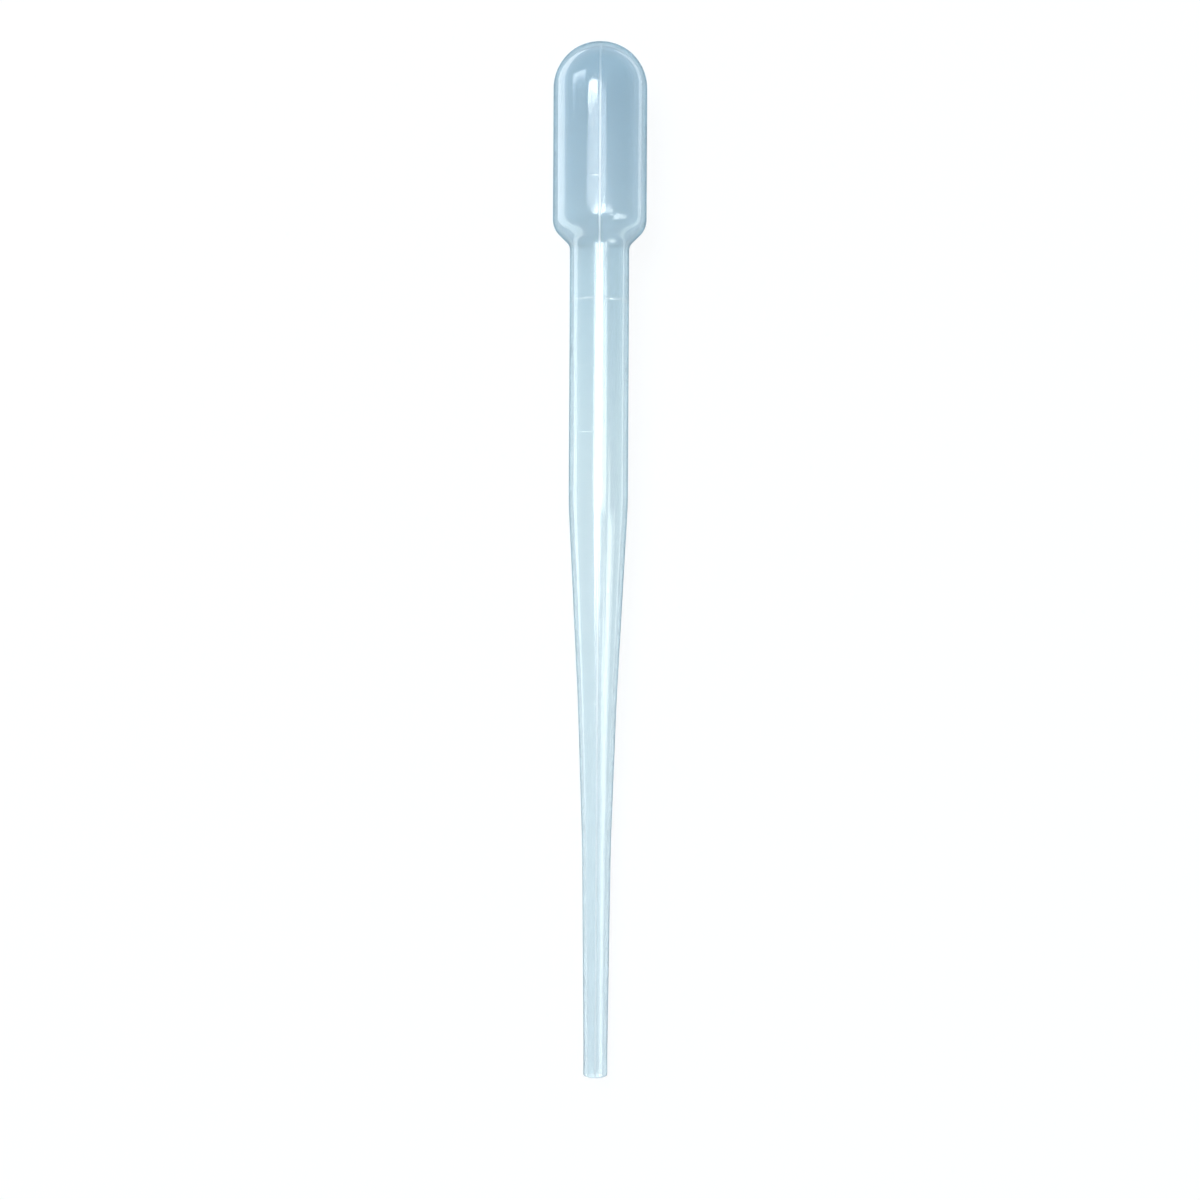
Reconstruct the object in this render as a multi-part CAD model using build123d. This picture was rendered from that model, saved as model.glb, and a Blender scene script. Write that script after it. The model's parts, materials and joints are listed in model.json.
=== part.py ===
from build123d import *
import os
from math import asin, atan2, cbrt, cos, degrees, hypot, pi, radians, sin, tan

# A disposable dropper pipette: a squeeze bulb, a graduated barrel and a long tapered stem, blown in
# one piece from soft translucent plastic. Its wall is one skin all the way round, open only at the tip.
#
# Millimetres. The section is drawn with X as the radius and Y along the pipette from its tip, and is
# turned about Y. The pipette then lies on its side as it would on a bench: +Y points from the tip to
# the bulb, +Z is up, and the bulb's shoulder and the tip's rim both rest on Z = 0. The origin is on
# that surface, under the middle of the length.

# Overall sizes
overall_length = 155.0
bulb_diameter = 14.1
barrel_diameter = 8.9

# Bulb: a flattened dome, a straight side, and a shoulder that slopes in to the neck
bulb_length = 27.7          # from the dome's top to the corner of the shoulder
dome_flattening = 0.27      # how much lower the dome is than a half ball
crown_excess = 1.55         # how much larger the crown's radius is than the bulb's
shoulder_angle = 45.0       # degrees, from the pipette's axis
shoulder_radius = 3.0
neck_radius = 1.9

# Barrel and stem: each length runs between the corners of the outline, and the stem takes what is left
barrel_length = 38.9
upper_taper_length = 29.3
lower_taper_length = 22.0
waist_diameter = 5.85       # where the upper taper meets the lower one
stem_diameter = 4.3         # at the top of the stem
tip_diameter = 3.6
tip_length = 4.5            # straight end of the stem
barrel_blend_radius = 60.0
taper_blend_radius = 200.0

# Walls and edges
bulb_wall = 0.6
barrel_wall = 0.45
stem_wall = 0.5
bore_diameter = 2.5
bore_length = 6.0           # straight bore behind the tip
tip_rounding = 0.25         # outer edge of the cut end
bore_rounding = 0.12        # inner edge of the cut end
rounded_share = 0.45        # most of a run between two corners that one rounding may take

# Fine lines left by the two mould halves: a sunk parting line and raised graduations
parting_line_width = 0.3
parting_line_depth = 0.05
mark_step = 500.0           # cubic millimetres of liquid from one graduation to the next
mark_width = 0.3
mark_height = 0.05
mark_root = 0.8             # how far through the wall the raised lines are rooted
top_mark_gap = 7.0          # degrees left bare each side of the parting line
top_mark_arc = 76.0         # degrees that the top graduation covers on each side
short_mark_start = 8.0      # degrees from the parting line
short_mark_arc = 50.0

bulb_r = bulb_diameter / 2
barrel_r = barrel_diameter / 2
waist_r = waist_diameter / 2
stem_r = stem_diameter / 2
tip_r = tip_diameter / 2
bore_r = bore_diameter / 2

slope = radians(shoulder_angle)
shoulder_y = overall_length - bulb_length
neck_y = shoulder_y - (bulb_r - barrel_r) / tan(slope)
taper_y = neck_y - barrel_length
waist_y = taper_y - upper_taper_length
stem_y = waist_y - lower_taper_length

crown_radius = bulb_r + crown_excess
crown_y = overall_length - crown_radius
dome_y = overall_length - bulb_r + dome_flattening
knuckle_radius = bulb_r - dome_flattening - dome_flattening**2 / (2 * crown_excess)
knuckle_x = bulb_r - knuckle_radius
knuckle_angle = degrees(atan2(dome_y - crown_y, knuckle_x))


def outside_corners(proud):
    """Corners of the outline outside the wall, from the tip to the dome, standing out by `proud`."""
    rise = proud * tan(slope / 2)
    return [
        (tip_r + proud, 0),
        (tip_r + proud, tip_length),
        (stem_r + proud, stem_y),
        (waist_r + proud, waist_y),
        (barrel_r + proud, taper_y),
        (barrel_r + proud, neck_y - rise),
        (bulb_r + proud, shoulder_y - rise),
        (bulb_r + proud, dome_y),
    ]


def inside_corners(share):
    """Corners of the outline inside the wall, or `share` of the way through it from outside."""
    bulb_in = bulb_wall * share
    barrel_in = barrel_wall * share
    stem_in = stem_wall * share
    bore_in = (tip_r - bore_r) * share
    # the inner slope of the shoulder runs the bulb's wall away from the outer one
    slope_x = barrel_r - bulb_in * cos(slope)
    slope_y = neck_y + bulb_in * sin(slope)
    return [
        (tip_r - bore_in, 0),
        (tip_r - bore_in, bore_length),
        (stem_r - stem_in, stem_y),
        (waist_r - stem_in, waist_y),
        (barrel_r - barrel_in, taper_y),
        (barrel_r - barrel_in, slope_y + (barrel_r - barrel_in - slope_x) / tan(slope)),
        (bulb_r - bulb_in, slope_y + (bulb_r - bulb_in - slope_x) / tan(slope)),
        (bulb_r - bulb_in, dome_y),
    ]


def corner_radii(start, corners, end_rounding, neck, shoulder):
    """Radius at each corner but the last, each held to its share of the shorter run beside it."""
    blends = [taper_blend_radius] * 3 + [barrel_blend_radius]
    wanted = [end_rounding, *blends, neck, shoulder]
    points = [Vector(*point) for point in (start, *corners)]
    radii = []
    for before, corner, after, radius in zip(points, points[1:], points[2:], wanted):
        run_in = (corner - before).length * (2 if before == points[0] else 1)
        run_out = (after - corner).length
        turn = radians((corner - before).get_angle(after - corner))
        radii.append(min(radius, rounded_share * min(run_in, run_out) / tan(turn / 2)))
    return radii


def rim_between(outer, inner):
    """The point of the cut end where its two roundings part."""
    share = bore_rounding / (bore_rounding + tip_rounding)
    return (inner[0][0] + (outer[0][0] - inner[0][0]) * share, 0)


def section(proud=0.0, share=1.0):
    """Half the wall's section, or an outer layer of it that stands out by `proud`."""
    outer = outside_corners(proud)
    inner = inside_corners(share)
    depth = bulb_wall * share
    barrel_depth = barrel_wall * share
    rim = rim_between(outer, inner)
    neck_out, shoulder_out = neck_radius - proud, shoulder_radius + proud
    neck_in, shoulder_in = neck_radius + barrel_depth, shoulder_radius - depth
    outer_radii = corner_radii(rim, outer, tip_rounding, neck_out, shoulder_out)
    inner_radii = corner_radii(rim, inner, bore_rounding, neck_in, shoulder_in)
    knuckle = (knuckle_x, dome_y)
    crown = (0, crown_y)
    over_crown = 90 - knuckle_angle
    lines = FilletPolyline(rim, *outer, radius=outer_radii)
    lines += FilletPolyline(rim, *inner, radius=inner_radii)
    lines += CenterArc(knuckle, knuckle_radius + proud, 0, knuckle_angle)
    lines += CenterArc(knuckle, knuckle_radius - depth, 0, knuckle_angle)
    lines += CenterArc(crown, crown_radius + proud, knuckle_angle, over_crown)
    lines += CenterArc(crown, crown_radius - depth, knuckle_angle, over_crown)
    lines += Line((0, overall_length - depth), (0, overall_length + proud))
    return make_face(lines)


def turned(face):
    """The solid that a half section sweeps about the pipette's axis."""
    return revolve(face, Axis.Y)


def fill_levels():
    """Distances from the tip at which the stem and barrel hold each further graduation step."""
    levels = []
    held = 0.0
    corners = inside_corners(1.0)[:6]
    for (low_r, low_y), (high_r, high_y) in zip(corners, corners[1:]):
        flare = (high_r - low_r) / (high_y - low_y)
        space = pi * (low_r**2 + low_r * high_r + high_r**2) * (high_y - low_y) / 3
        while (len(levels) + 1) * mark_step <= held + space:
            wanted = (len(levels) + 1) * mark_step - held
            if abs(flare) < 1e-9:
                level = wanted / (pi * low_r**2)
            else:
                level = (cbrt(3 * flare * wanted / pi + low_r**3) - low_r) / flare
            levels.append(low_y + level)
        held += space
    return levels


def arc_tool(level, start, arc):
    """A sector of a disc at a level; angles run from the upper parting line towards -X."""
    reach = Pos(bulb_r / 2, level) * Rectangle(bulb_r, mark_width)
    return Rot(0, -90 - start - arc, 0) * revolve(reach, Axis.Y, arc)


def parting_line():
    """What the groove along both sides and over the dome takes away."""
    slab = Box(parting_line_width, 3 * overall_length, 3 * bulb_diameter)
    below = turned(section(-parting_line_depth))
    return (slab & turned(section())) - below


def graduations():
    """The raised marks round the front: the top one on both sides, the others on one."""
    layer = turned(section(mark_height, mark_root))
    *short_levels, top_level = fill_levels()
    marks = []
    for start in (top_mark_gap, -top_mark_gap - top_mark_arc):
        marks.append(layer & arc_tool(top_level, start, top_mark_arc))
    for level in short_levels:
        marks.append(layer & arc_tool(level, short_mark_start, short_mark_arc))
    return marks


def laid_down(solid):
    """Tilt the pipette until shoulder and tip both touch the bench, and centre it over the origin."""
    outer = outside_corners(0)
    rim = rim_between(outer, inside_corners(1))
    edge, *_, shoulder = corner_radii(rim, outer, tip_rounding, neck_radius, shoulder_radius)
    along = shoulder_y + shoulder * tan(slope / 2) - edge
    down = (bulb_r - shoulder) - (tip_r - edge)
    tilt = atan2(down, along) + asin((shoulder - edge) / hypot(along, down))
    leaning = Rot(degrees(tilt), 0, 0) * solid
    box = leaning.bounding_box()
    return Pos(0, -(box.min.Y + box.max.Y) / 2, -box.min.Z) * leaning


pipette = turned(section())
pipette = (pipette - parting_line()) + graduations()
pipette = laid_down(pipette)

os.makedirs("parts", exist_ok=True)
export_step(pipette, "parts/pipette.step")

if __name__ == "__main__":
    box = pipette.bounding_box()
    print("solids", len(pipette.solids()), "volume", round(pipette.volume, 2))
    print("box", box)
    print("fill levels", [round(level, 2) for level in fill_levels()])
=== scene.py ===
import json
from math import atan2, cos, pi, radians, sin, tan

import bpy
from mathutils import Matrix, Vector


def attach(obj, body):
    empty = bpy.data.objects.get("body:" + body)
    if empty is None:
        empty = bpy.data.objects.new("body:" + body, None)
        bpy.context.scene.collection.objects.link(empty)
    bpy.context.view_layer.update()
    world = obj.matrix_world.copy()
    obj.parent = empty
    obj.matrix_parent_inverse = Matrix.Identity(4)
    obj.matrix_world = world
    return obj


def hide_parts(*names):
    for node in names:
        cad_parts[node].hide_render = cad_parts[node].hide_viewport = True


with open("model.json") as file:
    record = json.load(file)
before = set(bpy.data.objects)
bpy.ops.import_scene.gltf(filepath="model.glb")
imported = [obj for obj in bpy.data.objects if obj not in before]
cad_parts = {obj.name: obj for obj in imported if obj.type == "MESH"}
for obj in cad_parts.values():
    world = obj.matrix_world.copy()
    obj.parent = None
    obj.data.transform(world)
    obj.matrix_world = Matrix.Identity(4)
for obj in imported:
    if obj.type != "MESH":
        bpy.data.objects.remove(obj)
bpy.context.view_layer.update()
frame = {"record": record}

MM = 0.001


# ---- Sizes of the pipette, in millimetres along its own axis from the tip ----

overall_length = 155.0
bulb_r = 7.05
barrel_r = 4.45
waist_r = 2.925
stem_r = 2.15
tip_r = 1.8
bulb_length = 27.7
barrel_length = 38.9
upper_taper_length = 29.3
lower_taper_length = 22.0
tip_length = 4.5
dome_flattening = 0.27
crown_excess = 1.55
shoulder_angle = radians(45)
shoulder_radius = 3.0
neck_radius = 1.9
barrel_blend = 60.0
taper_blend = 200.0
bulb_wall = 0.6
barrel_wall = 0.45
stem_wall = 0.5
bore_r = 1.25
bore_length = 6.0
tip_rounding = 0.25
bore_rounding = 0.12

parting_width = 0.3
parting_depth = 0.05
mark_height = 0.05
mark_width = 0.3
mark_step = 500.0
mark_slope = 0.12           # width of a raised line's sloping side
mark_guard = 0.4            # a plain row this many slopes past a raised line's foot keeps its shading near it
short_mark_arc = 8, 58      # degrees from the upper parting line
top_mark_arc = 7, 83
bulb_tick_level = 133.6     # distance of the bulb's one short tick from the tip
bulb_tick_arc = -2, 12
bulb_tick_share = 0.35      # its height as a share of a graduation's
unevenness = 0.012          # height of the wall's faint streaks, from crest to trough at most
bore_mount_depth = 2.5      # how far in from the cut end the bore's mount point lies

outer_run, inner_run = 1.2, 1.6     # longest straight run between two rows of the mesh
outer_dome_rows, inner_dome_rows = 34, 28
bend_step = radians(6)              # about how far a rounding turns between two rows

shoulder_y = overall_length - bulb_length
neck_y = shoulder_y - (bulb_r - barrel_r) / tan(shoulder_angle)
taper_y = neck_y - barrel_length
waist_y = taper_y - upper_taper_length
stem_y = waist_y - lower_taper_length
crown_radius = bulb_r + crown_excess
crown_y = overall_length - crown_radius
dome_y = overall_length - bulb_r + dome_flattening
knuckle_radius = bulb_r - dome_flattening - dome_flattening**2 / (2 * crown_excess)
knuckle_x = bulb_r - knuckle_radius
knuckle_angle = atan2(dome_y - crown_y, knuckle_x)


# ---- The wall's section, as rows of points that the lathe turns ----

def rounded(corners, radii, longest):
    """An outline through the corners, each rounded, with no straight step longer than `longest`."""
    points = [Vector(corners[0])]
    for before, corner, after, radius in zip(corners, corners[1:], corners[2:], radii):
        here = Vector(corner)
        way_in = (here - Vector(before)).normalized()
        way_out = (Vector(after) - here).normalized()
        turn = way_in.angle(way_out)
        reach = radius * tan(turn / 2)
        start, end = here - way_in * reach, here + way_out * reach
        side = 1 if way_in.cross(way_out) > 0 else -1
        centre = start + Vector((-way_in.y, way_in.x)) * radius * side
        arm = start - centre
        steps = max(3, int(turn / bend_step))
        stretch(points, start, longest)
        for i in range(1, steps + 1):
            points.append(centre + Matrix.Rotation(side * turn * i / steps, 2) @ arm)
    stretch(points, Vector(corners[-1]), longest)
    return points


def stretch(points, end, longest):
    """Add evenly spaced points up to the end of a straight run."""
    start = points[-1].copy()
    steps = max(1, int((end - start).length / longest + 0.999))
    for i in range(1, steps + 1):
        points.append(start.lerp(end, i / steps))


def dome(depth, steps):
    """The knuckle and the crown, from the bulb's side to its top, `depth` inside the surface."""
    points = []
    for i in range(1, steps + 1):
        angle = (pi / 2) * i / steps
        if angle < knuckle_angle:
            centre, radius = Vector((knuckle_x, dome_y)), knuckle_radius - depth
        else:
            centre, radius = Vector((0, crown_y)), crown_radius - depth
        points.append(centre + radius * Vector((cos(angle), sin(angle))))
    points[-1].x = 0
    return points


outer_corners = [
    (tip_r, 0),
    (tip_r, tip_length),
    (stem_r, stem_y),
    (waist_r, waist_y),
    (barrel_r, taper_y),
    (barrel_r, neck_y),
    (bulb_r, shoulder_y),
    (bulb_r, dome_y),
]
slope_x = barrel_r - bulb_wall * cos(shoulder_angle)
slope_y = neck_y + bulb_wall * sin(shoulder_angle)
inner_corners = [
    (bore_r, 0),
    (bore_r, bore_length),
    (stem_r - stem_wall, stem_y),
    (waist_r - stem_wall, waist_y),
    (barrel_r - barrel_wall, taper_y),
    (barrel_r - barrel_wall, slope_y + (barrel_r - barrel_wall - slope_x) / tan(shoulder_angle)),
    (bulb_r - bulb_wall, slope_y + (bulb_r - bulb_wall - slope_x) / tan(shoulder_angle)),
    (bulb_r - bulb_wall, dome_y),
]


def fill_levels():
    """Distances from the tip at which the pipette holds each further graduation step."""
    levels, held = [], 0.0
    for (low_r, low_y), (high_r, high_y) in zip(inner_corners[:5], inner_corners[1:6]):
        flare = (high_r - low_r) / (high_y - low_y)
        space = pi * (low_r**2 + low_r * high_r + high_r**2) * (high_y - low_y) / 3
        while (len(levels) + 1) * mark_step <= held + space:
            wanted = (len(levels) + 1) * mark_step - held
            if abs(flare) < 1e-9:
                levels.append(low_y + wanted / (pi * low_r**2))
            else:
                levels.append(low_y + ((3 * flare * wanted / pi + low_r**3) ** (1 / 3) - low_r) / flare)
        held += space
    return levels


def radius_at(points, y):
    """The outline's radius at a distance from the tip."""
    for low, high in zip(points, points[1:]):
        if low.y <= y <= high.y:
            return low.lerp(high, (y - low.y) / (high.y - low.y)).x


def section_rows():
    """Rows of the section from the inner pole, through the cut end, to the outer pole.

    Each row is radius, distance from the tip, 1 outside or 0 inside, and how raised the short
    graduations, the top one and the bulb's tick are there.
    """
    rim_x = bore_r + (tip_r - bore_r) * bore_rounding / (bore_rounding + tip_rounding)
    blends = [taper_blend] * 3 + [barrel_blend]
    outer_radii = [tip_rounding, *blends, neck_radius, shoulder_radius]
    inner_radii = [bore_rounding, *blends, neck_radius + barrel_wall, shoulder_radius - bulb_wall]
    outer = rounded([(rim_x, 0)] + outer_corners, outer_radii, outer_run)
    inner = rounded([(rim_x, 0)] + inner_corners, inner_radii, inner_run)
    rows = [(p.x, p.y, 0, 0, 0, 0) for p in reversed(inner[1:] + dome(bulb_wall, inner_dome_rows))]
    outside = [(p.x, p.y, 1, 0, 0, 0) for p in outer]
    *short, top = fill_levels()
    half = mark_width / 2 - 0.75 * mark_slope
    foot = half + mark_slope
    guard = foot + mark_guard * mark_slope
    for level in (*short, top, bulb_tick_level):
        kinds = level in short, level == top, level == bulb_tick_level
        for offset in (-guard, -foot, -half, half, foot, guard):
            y = level + offset
            raised = abs(offset) <= half
            outside.append((radius_at(outer, y), y, 1, *(raised * kind for kind in kinds)))
    straight_start = 2.0    # the rim's own rows come first and stay in order
    rim = [row for row in outside if row[1] < straight_start]
    body = sorted((row for row in outside if row[1] >= straight_start), key=lambda row: row[1])
    rows += rim + body
    rows += [(p.x, p.y, 1, 0, 0, 0) for p in dome(0, outer_dome_rows)]
    return rows


# ---- Geometry Nodes: the lathe that turns the section into the blown wall ----

def add(tree, kind, links=(), **settings):
    """Add a node with its settings, and its links or values by input name or number."""
    node = tree.nodes.new(kind)
    for key, value in settings.items():
        setattr(node, key, value)
    for key, value in dict(links).items():
        if isinstance(value, bpy.types.NodeSocket):
            tree.links.new(value, node.inputs[key])
        else:
            node.inputs[key].default_value = value
    return node


def maths(tree, operation, *values):
    """A maths node's result."""
    return add(tree, "ShaderNodeMath", enumerate(values), operation=operation).outputs[0]


def between(tree, value, span, results=(0.0, 1.0), eased=False):
    """The result that a value within the span is given, held at either end of the span."""
    links = {0: value, 1: span[0], 2: span[1], 3: results[0], 4: results[1]}
    shape = "SMOOTHSTEP" if eased else "LINEAR"
    return add(tree, "ShaderNodeMapRange", links, interpolation_type=shape).outputs[0]


def window(tree, value, arc):
    """1 where an angle lies within an arc given in degrees, falling off over a degree outside it."""
    start, end = (radians(limit) for limit in arc)
    soft = radians(1)
    rise = between(tree, value, (start - soft, start), eased=True)
    fall = between(tree, value, (end, end + soft), eased=True)
    return maths(tree, "SUBTRACT", rise, fall)


def lathe_tree(material):
    """Turns a section mesh about the Y axis, with the mould's lines and the wall's unevenness."""
    tree = bpy.data.node_groups.new("pipette_lathe", "GeometryNodeTree")
    face = tree.interface
    face.new_socket("Section", in_out="INPUT", socket_type="NodeSocketGeometry")
    for name in ("Rows", "Segments"):
        face.new_socket(name, in_out="INPUT", socket_type="NodeSocketInt")
    for name in ("Crowding", "Parting Width", "Parting Depth", "Mark Height", "Unevenness"):
        face.new_socket(name, in_out="INPUT", socket_type="NodeSocketFloat")
    face.new_socket("Turn", in_out="INPUT", socket_type="NodeSocketVector")
    face.new_socket("Place", in_out="INPUT", socket_type="NodeSocketVector")
    face.new_socket("Pipette", in_out="OUTPUT", socket_type="NodeSocketGeometry")
    given = tree.nodes.new("NodeGroupInput").outputs
    rows, segments = given["Rows"], given["Segments"]

    columns = maths(tree, "ADD", segments, 1)
    grid = add(tree, "GeometryNodeMeshGrid", {"Vertices X": columns, "Vertices Y": rows}).outputs["Mesh"]
    index = add(tree, "GeometryNodeInputIndex").outputs[0]
    column = maths(tree, "FLOOR", maths(tree, "DIVIDE", maths(tree, "ADD", index, 0.5), rows))
    row = maths(tree, "SUBTRACT", index, maths(tree, "MULTIPLY", column, rows))

    def sampled(kind, field):
        sample = tree.nodes.new("GeometryNodeSampleIndex")
        sample.data_type, sample.domain = kind, "POINT"
        for key, value in (("Geometry", given["Section"]), ("Value", field), ("Index", row)):
            tree.links.new(value, sample.inputs[key])
        return sample.outputs[0]

    place = sampled("FLOAT_VECTOR", add(tree, "GeometryNodeInputPosition").outputs[0])
    traits = {}
    for name in ("outside", "short_mark", "top_mark", "bulb_tick"):
        named = add(tree, "GeometryNodeInputNamedAttribute", {"Name": name}, data_type="FLOAT").outputs[0]
        traits[name] = sampled("FLOAT", named)
    split = add(tree, "ShaderNodeSeparateXYZ", {0: place}).outputs
    radius, along = split["X"], split["Y"]

    # the columns crowd together at the parting lines, above and below
    share = maths(tree, "DIVIDE", column, segments)
    swing = maths(tree, "SINE", maths(tree, "MULTIPLY", share, 4 * pi))
    crowd = maths(tree, "MULTIPLY", maths(tree, "MULTIPLY", given["Crowding"], 0.5), swing)
    angle = maths(tree, "SUBTRACT", maths(tree, "MULTIPLY", share, 2 * pi), crowd)
    across, up = maths(tree, "SINE", angle), maths(tree, "COSINE", angle)

    # the parting line is a shallow groove where the two mould halves meet
    off = maths(tree, "ABSOLUTE", maths(tree, "MULTIPLY", across, radius))
    half_width = maths(tree, "MULTIPLY", given["Parting Width"], 0.5)
    nearness = maths(tree, "SUBTRACT", 1, maths(tree, "DIVIDE", off, half_width))
    hollow = maths(tree, "SMOOTH_MIN", maths(tree, "MAXIMUM", nearness, 0), 0.6, 0.3)
    groove = maths(tree, "MULTIPLY", hollow, given["Parting Depth"])

    # raised lines: the short ones on one side, the top one on both
    turned = maths(tree, "WRAP", angle, pi, -pi)
    both = maths(tree, "ABSOLUTE", turned)
    short = maths(tree, "MULTIPLY", window(tree, turned, short_mark_arc), traits["short_mark"])
    top = maths(tree, "MULTIPLY", window(tree, both, top_mark_arc), traits["top_mark"])
    tick = maths(tree, "MULTIPLY", window(tree, turned, bulb_tick_arc), traits["bulb_tick"])
    low_tick = maths(tree, "MULTIPLY", tick, bulb_tick_share)
    marks = maths(tree, "ADD", maths(tree, "ADD", short, top), low_tick)
    raised = maths(tree, "MULTIPLY", marks, given["Mark Height"])

    # the wall has faint streaks along its length, inside and out
    stretched = maths(tree, "MULTIPLY", along, 12)
    streak_at = add(tree, "ShaderNodeCombineXYZ", {"X": across, "Y": stretched, "Z": up})
    own_streaks = maths(tree, "MULTIPLY", traits["outside"], 7.3)   # unlike those of the inside
    streaks = add(
        tree, "ShaderNodeTexNoise",
        {"Vector": streak_at.outputs[0], "W": own_streaks, "Scale": 3.2, "Detail": 2.0},
        noise_dimensions="4D",
    ).outputs[0]
    uneven = maths(tree, "MULTIPLY", maths(tree, "SUBTRACT", streaks, 0.5), given["Unevenness"])
    uneven = maths(tree, "MULTIPLY", uneven, between(tree, radius, (0.0, 1.0 * MM), eased=True))

    lines = maths(tree, "MULTIPLY", maths(tree, "SUBTRACT", raised, groove), traits["outside"])
    # where the parting line lies, which the material paints with a highlight
    seam_fade = [maths(tree, "MULTIPLY", given["Parting Width"], share) for share in (0.2, 0.8)]
    nearby = between(tree, off, seam_fade, (1.0, 0.0), eased=True)
    seam = maths(tree, "MULTIPLY", nearby, traits["outside"])
    final = maths(tree, "MAXIMUM", maths(tree, "ADD", radius, maths(tree, "ADD", lines, uneven)), 0)
    final = maths(tree, "MULTIPLY", final, maths(tree, "GREATER_THAN", radius, 1e-7))
    spot = add(tree, "ShaderNodeCombineXYZ", {
        "X": maths(tree, "MULTIPLY", maths(tree, "MULTIPLY", across, -1), final),
        "Y": along,
        "Z": maths(tree, "MULTIPLY", up, final),
    }).outputs[0]
    wall = add(tree, "GeometryNodeSetPosition", {"Geometry": grid, "Position": spot}).outputs[0]
    # the top line and the bulb's tick are kept as graduation, which the material paints with a highlight
    for name, value in (("seam", seam), ("graduation", maths(tree, "MAXIMUM", top, tick))):
        links = {"Geometry": wall, "Name": name}
        noted = add(tree, "GeometryNodeStoreNamedAttribute", links, data_type="FLOAT")
        tree.links.new(value, noted.inputs["Value"])
        wall = noted.outputs[0]
    closed = add(tree, "GeometryNodeMergeByDistance", {"Geometry": wall, "Distance": 1e-6}).outputs[0]
    outward = add(tree, "GeometryNodeFlipFaces", {"Mesh": closed}).outputs[0]
    smooth = add(tree, "GeometryNodeSetShadeSmooth", {"Geometry": outward, "Shade Smooth": True}).outputs[0]
    pose = {"Geometry": smooth, "Translation": given["Place"], "Rotation": given["Turn"]}
    laid = add(tree, "GeometryNodeTransform", pose)
    whole = add(tree, "GeometryNodeRealizeInstances", {"Geometry": laid.outputs[0]}).outputs[0]
    dressed = add(tree, "GeometryNodeSetMaterial", {"Geometry": whole, "Material": material}).outputs[0]
    add(tree, "NodeGroupOutput", {"Pipette": dressed})
    return tree


def made_by_nodes(name, start_mesh, tree, values):
    """The plain mesh that a node tree makes from a starting mesh, as an object of its own."""
    seed = bpy.data.objects.new(name + "_section", start_mesh)
    bpy.context.collection.objects.link(seed)
    modifier = seed.modifiers.new("lathe", "NODES")
    modifier.node_group = tree
    for item in tree.interface.items_tree:
        if item.in_out == "INPUT" and item.name in values:
            modifier[item.identifier] = values[item.name]
    bpy.context.view_layer.update()
    evaluated = seed.evaluated_get(bpy.context.evaluated_depsgraph_get())
    mesh = bpy.data.meshes.new_from_object(evaluated)
    seed.modifiers.clear()
    bpy.data.objects.remove(seed)
    mesh.name = name
    piece = bpy.data.objects.new(name, mesh)
    bpy.context.collection.objects.link(piece)
    return piece


def section_mesh():
    """The section as a chain of vertices in metres, with its traits as attributes."""
    rows = section_rows()
    mesh = bpy.data.meshes.new("section")
    chain = [(i, i + 1) for i in range(len(rows) - 1)]
    mesh.from_pydata([(r * MM, y * MM, 0) for r, y, *_ in rows], chain, [])
    for number, name in enumerate(("outside", "short_mark", "top_mark", "bulb_tick"), 2):
        trait = mesh.attributes.new(name, "FLOAT", "POINT")
        trait.data.foreach_set("value", [float(row[number]) for row in rows])
    return mesh, len(rows)


# ---- Materials ----

def linear(colour):
    """An sRGB hex colour as linear red, green, blue and an alpha of 1."""
    parts = [int(colour[i:i + 2], 16) / 255 for i in (1, 3, 5)]
    return tuple(c / 12.92 if c <= 0.04045 else ((c + 0.055) / 1.055) ** 2.4 for c in parts) + (1.0,)


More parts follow.
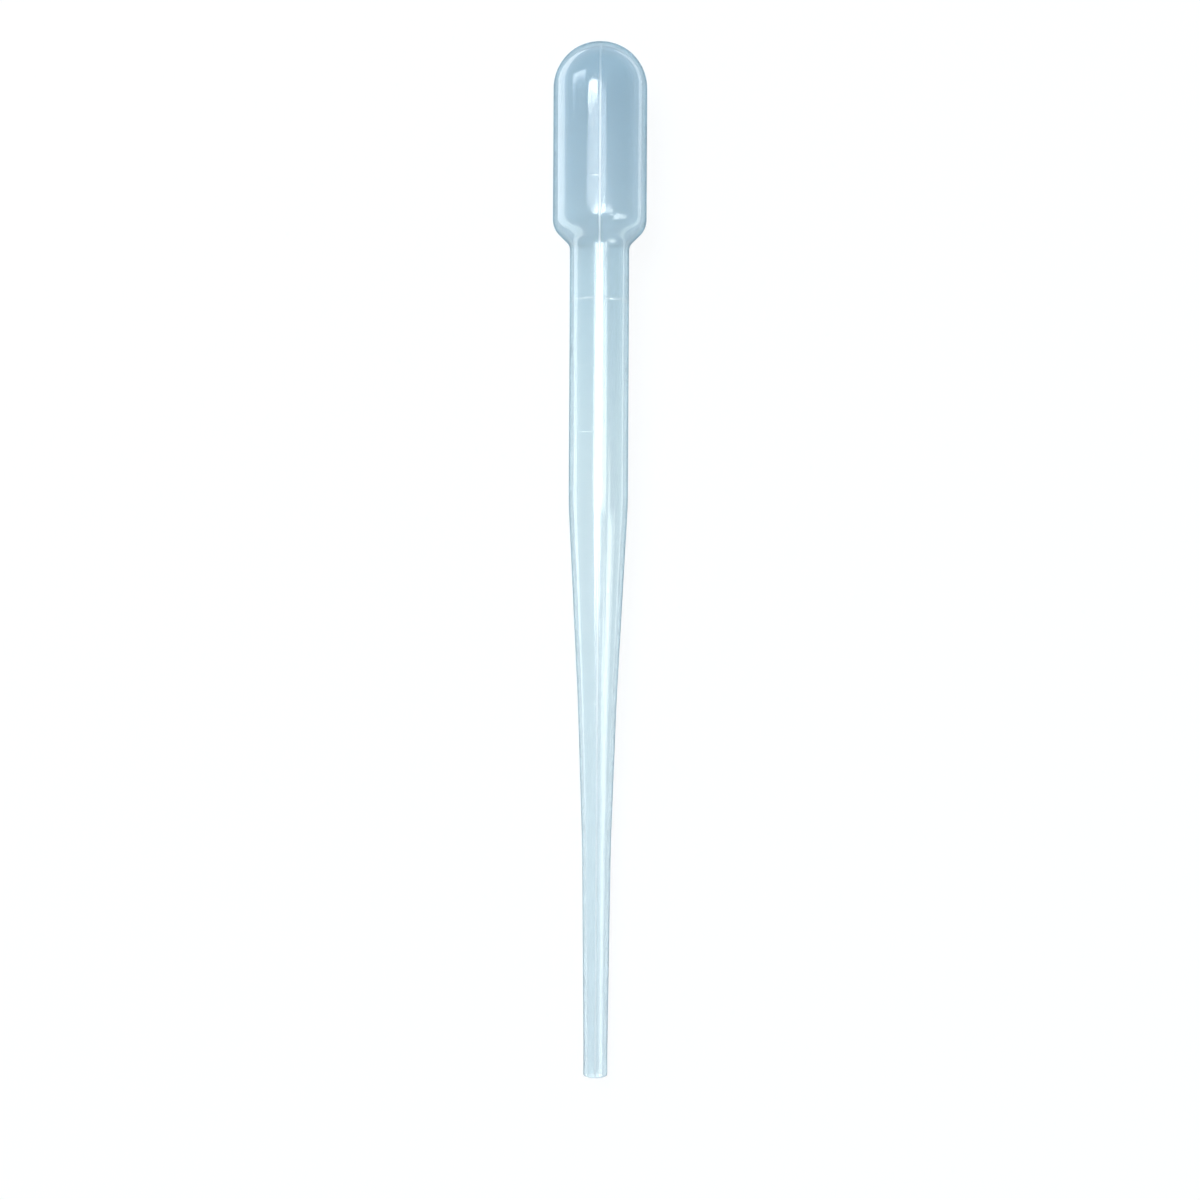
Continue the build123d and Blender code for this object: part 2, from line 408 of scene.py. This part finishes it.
def blown_polyethylene():
    """Blown low-density polyethylene: clear but milky, with a waxy gloss and a painted shade at its outline.

    Its tint deepens towards the bulb, and its gloss is sharper on the barrel and sharpest on the dome.
    Both are matched. The thin coat is there for the outline alone, as a painted shade at the rim.
    """
    material = bpy.data.materials.new("blown_low_density_polyethylene")
    material.use_nodes = True
    tree = material.node_tree
    tree.nodes.clear()
    spot = add(tree, "ShaderNodeTexCoord").outputs["Object"]
    along = add(tree, "ShaderNodeSeparateXYZ", {0: spot}).outputs["Y"]

    share = between(tree, along, (-overall_length / 2 * MM, overall_length / 2 * MM))
    tint = add(tree, "ShaderNodeValToRGB", {0: share})
    ramp = tint.color_ramp.elements
    ramp[0].position, ramp[0].color = 0.0, linear("#ECF3F6")
    ramp[1].position, ramp[1].color = 1.0, linear("#C7D8E2")
    for height, colour in ((0.5, "#EEF5F7"), (0.6, "#ECF4F6"), (0.78, "#DFEBF0"), (0.86, "#D4E2EA")):
        ramp.new(height).color = linear(colour)

    # a painted highlight along the parting line: whiter and less clear, but less so towards the tip and over
    # the dome
    seam = add(tree, "ShaderNodeAttribute", attribute_name="seam").outputs["Fac"]
    over_taper = between(tree, along, (-30 * MM, -5 * MM), (0.2, 1.0))
    below_dome = between(tree, along, (63 * MM, 73 * MM), (1.0, 0.2))
    painted_seam_highlight = maths(tree, "MULTIPLY", seam, maths(tree, "MULTIPLY", over_taper, below_dome))
    # the top line and the bulb's tick get the same painted highlight
    line = add(tree, "ShaderNodeAttribute", attribute_name="graduation").outputs["Fac"]
    pale = maths(tree, "MULTIPLY", maths(tree, "MAXIMUM", painted_seam_highlight, line), 0.85)
    colours = {0: pale, 6: tint.outputs["Color"], 7: linear("#FFFFFF")}
    body = add(tree, "ShaderNodeMix", colours, data_type="RGBA").outputs[2]

    waxy = between(tree, along, (-50 * MM, 5 * MM), (0.24, 0.12))
    glossier = between(tree, along, (58 * MM, 68 * MM), (0.0, 0.05))
    # the coat's tint paints shade along the outline, where the wall turns away from the view
    slant = add(tree, "ShaderNodeLayerWeight", {"Blend": 0.5}).outputs["Facing"]
    rising = between(tree, slant, (0.45, 0.9), eased=True)
    falling = between(tree, slant, (0.82, 0.93), (1.0, 0.7), eased=True)
    surface = add(tree, "ShaderNodeBsdfPrincipled", {
        "Base Color": body,
        "Roughness": maths(tree, "SUBTRACT", waxy, glossier),
        "IOR": 1.51,
        "Transmission Weight": between(tree, painted_seam_highlight, (0.0, 1.0), (0.76, 0.3)),
        "Coat Weight": maths(tree, "MULTIPLY", rising, falling),
        "Coat Roughness": 0.12,
        "Coat IOR": 1.02,
        "Coat Tint": linear("#DAE4E8"),
    })

    # a fine haze, drawn about 2 mm coarse so that it shows
    haze = add(tree, "ShaderNodeTexNoise", {"Vector": spot, "Scale": 500.0, "Detail": 1.0}).outputs[0]
    bump = add(tree, "ShaderNodeBump", {"Height": haze, "Strength": 0.02, "Distance": 0.02 * MM})
    tree.links.new(bump.outputs[0], surface.inputs["Normal"])
    add(tree, "ShaderNodeOutputMaterial", {"Surface": surface.outputs[0]})
    return material


def matt_white_paper():
    """White paper, lit to a soft shadow, with a glow that the eye sees as plain white.

    It glows less in the plastic's highlights and through its wall, so that they keep some depth.
    """
    seen_glow, bent_glow = 0.91, 0.62
    material = bpy.data.materials.new("matt_white_paper")
    material.use_nodes = True
    tree = material.node_tree
    tree.nodes.clear()
    rays = add(tree, "ShaderNodeLightPath").outputs
    eye = rays["Is Camera Ray"]
    bent = maths(tree, "MAXIMUM", rays["Is Glossy Ray"], rays["Is Transmission Ray"])
    colours = {0: eye, 6: linear("#EAF1F4"), 7: linear("#606365")}
    shade = add(tree, "ShaderNodeMix", colours, data_type="RGBA").outputs[2]
    paper = add(tree, "ShaderNodeBsdfDiffuse", {"Color": shade}).outputs[0]
    strengths = maths(tree, "MULTIPLY", eye, seen_glow), maths(tree, "MULTIPLY", bent, bent_glow)
    strength = maths(tree, "ADD", *strengths)
    glow = add(tree, "ShaderNodeEmission", {"Color": linear("#FFFFFF"), "Strength": strength}).outputs[0]
    both = add(tree, "ShaderNodeAddShader", {0: paper, 1: glow}).outputs[0]
    add(tree, "ShaderNodeOutputMaterial", {"Surface": both})
    return material


# ---- The pipette ----

mounts = {mount["name"]: mount for mount in frame["record"]["mounts"]}
bore = mounts["tip_bore"]
out_of_tip = Vector(bore["axis"])
tip_point = Vector(bore["pos_m"]) + out_of_tip * bore_mount_depth * MM
tilt = atan2(-out_of_tip.z, -out_of_tip.y)

plastic = blown_polyethylene()
section, row_count = section_mesh()
pipette = made_by_nodes("blown_pipette", section, lathe_tree(plastic), {
    "Rows": row_count,
    "Segments": 160,
    "Crowding": 0.75,
    "Parting Width": parting_width * MM,
    "Parting Depth": parting_depth * MM,
    "Mark Height": mark_height * MM,
    "Unevenness": unevenness * MM,
    "Turn": (tilt, 0, 0),
    "Place": tuple(tip_point),
})
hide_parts("pipette")
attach(pipette, "root")


# ---- Floor, light and camera ----

floor_reach = 3.0       # metres each way from the middle
floor_mesh = bpy.data.meshes.new("floor")
corners = [(x * floor_reach, y * floor_reach, 0) for x, y in ((-1, -1), (1, -1), (1, 1), (-1, 1))]
floor_mesh.from_pydata(corners, [], [(0, 1, 2, 3)])
floor = bpy.data.objects.new("floor", floor_mesh)
bpy.context.collection.objects.link(floor)
floor_mesh.materials.append(matt_white_paper())


def lamp(name, place, size, brightness, turned):
    """A rectangular lamp of an even brightness, in metres, that isn't seen itself."""
    light = bpy.data.lights.new(name, "AREA")
    light.shape = "RECTANGLE"
    light.size, light.size_y = size
    light.energy = brightness * pi * size[0] * size[1]
    holder = bpy.data.objects.new(name, light)
    holder.matrix_world = Matrix.Translation(place) @ turned
    holder.visible_camera = False
    bpy.context.collection.objects.link(holder)
    return holder


def card(name, x_range, y_range, brightness, turn=0):
    """A bright card half a metre overhead, in millimetres and degrees.

    It shows in highlights and through the wall, and lights nothing else.
    """
    place = Vector((sum(x_range) / 2, sum(y_range) / 2, 500)) * MM
    size = (x_range[1] - x_range[0]) * MM, (y_range[1] - y_range[0]) * MM
    lamp(name, place, size, brightness, Matrix.Rotation(radians(turn), 4, "Z")).visible_diffuse = False


def low_card(name, x_range, brightness):
    """A bright card lying face up beside the pipette, which only shows as a highlight."""
    place = Vector((sum(x_range) / 2, 0, 1)) * MM
    size = (x_range[1] - x_range[0]) * MM, 300 * MM
    holder = lamp(name, place, size, brightness, Matrix.Rotation(pi, 4, "X"))
    holder.visible_diffuse = False
    holder.visible_transmission = False


card("barrel_core", (-105, 118), (-6, 134), 13)
card("barrel_halo", (-190, 300), (-30, 138), 5)
card("bulb_card", (-300, 130), (143, 198), 3.6)
card("dome_card", (-270, -48), (202.6, 208.2), 44, turn=-4.3)
card("low_side_card", (380, 560), (-45, 50), 3)
card("taper_core", (-147, 82), (-84, -6), 11)
card("taper_line", (420, 800), (-170, -50), 7)
card("taper_side", (800, 1500), (-260, -60), 3)
card("stem_side", (380, 1400), (-520, -170), 5.5)
card("slanting_bar", (210, 630), (-220, -130), 5, turn=-19.3)
card("far_card", (-1400, -350), (371, 531), 5, turn=-13.3)
low_card("left_low_card", (-120, -20), 3)
low_card("right_low_card", (22, 40), 2)
key_place = Vector((-0.25, 0.30, 0.80))
key_turn = (-key_place).to_track_quat("-Z", "Y").to_matrix().to_4x4()
key = lamp("key", key_place, (0.5, 0.5), 4.5, key_turn)
key.visible_glossy = False
key.visible_transmission = False

# the room is seen as plain white, and only its light and its reflections are darker
world = bpy.data.worlds.new("studio_room")
world.use_nodes = True
nodes = world.node_tree
nodes.nodes.clear()
towards = add(nodes, "ShaderNodeTexCoord").outputs["Generated"]
rise = add(nodes, "ShaderNodeSeparateXYZ", {0: towards}).outputs["Z"]
sky = add(nodes, "ShaderNodeValToRGB", {0: rise})
low, high = sky.color_ramp.elements
low.position, low.color = 0.0, linear("#E6EEF2")
high.position, high.color = 0.35, linear("#8DA6B1")
room = add(nodes, "ShaderNodeBackground", {"Color": sky.outputs["Color"], "Strength": 1.3})
pale = add(nodes, "ShaderNodeBackground", {"Color": linear("#FAFDFE"), "Strength": 1.0})
rays = add(nodes, "ShaderNodeLightPath").outputs
seen = maths(nodes, "MAXIMUM", rays["Is Camera Ray"], rays["Is Transmission Ray"])
either = add(nodes, "ShaderNodeMixShader", {0: seen, 1: room.outputs[0], 2: pale.outputs[0]})
add(nodes, "ShaderNodeOutputWorld", {"Surface": either.outputs[0]})
bpy.context.scene.world = world

# the camera looks square on to the pipette's axis from a quarter of a metre
view_distance = 250.5 * MM
view_below_middle = 6.08 * MM   # how far below the middle of the length the view is centred
view_right = 0.31 * MM
lean = radians(0.3)             # the pipette's own lean across the view
along_axis = -out_of_tip
square_on = Vector((0, -along_axis.z, along_axis.y))
middle = tip_point + along_axis * overall_length * MM / 2
to_right = Vector((1, 0, 0))
up = (along_axis * cos(lean) - to_right * sin(lean)).normalized()
right = up.cross(square_on)
target = middle - up * view_below_middle + right * view_right
camera_data = bpy.data.cameras.new("camera")
camera_data.sensor_width = 36.0
camera_data.lens = 50.0
camera_data.clip_start, camera_data.clip_end = 0.01, 20.0
camera = bpy.data.objects.new("camera", camera_data)
facing = Matrix((right, up, square_on)).transposed().to_4x4()
camera.matrix_world = Matrix.Translation(target + square_on * view_distance) @ facing
bpy.context.collection.objects.link(camera)
bpy.context.scene.camera = camera

bpy.context.scene.view_settings.view_transform = "Standard"
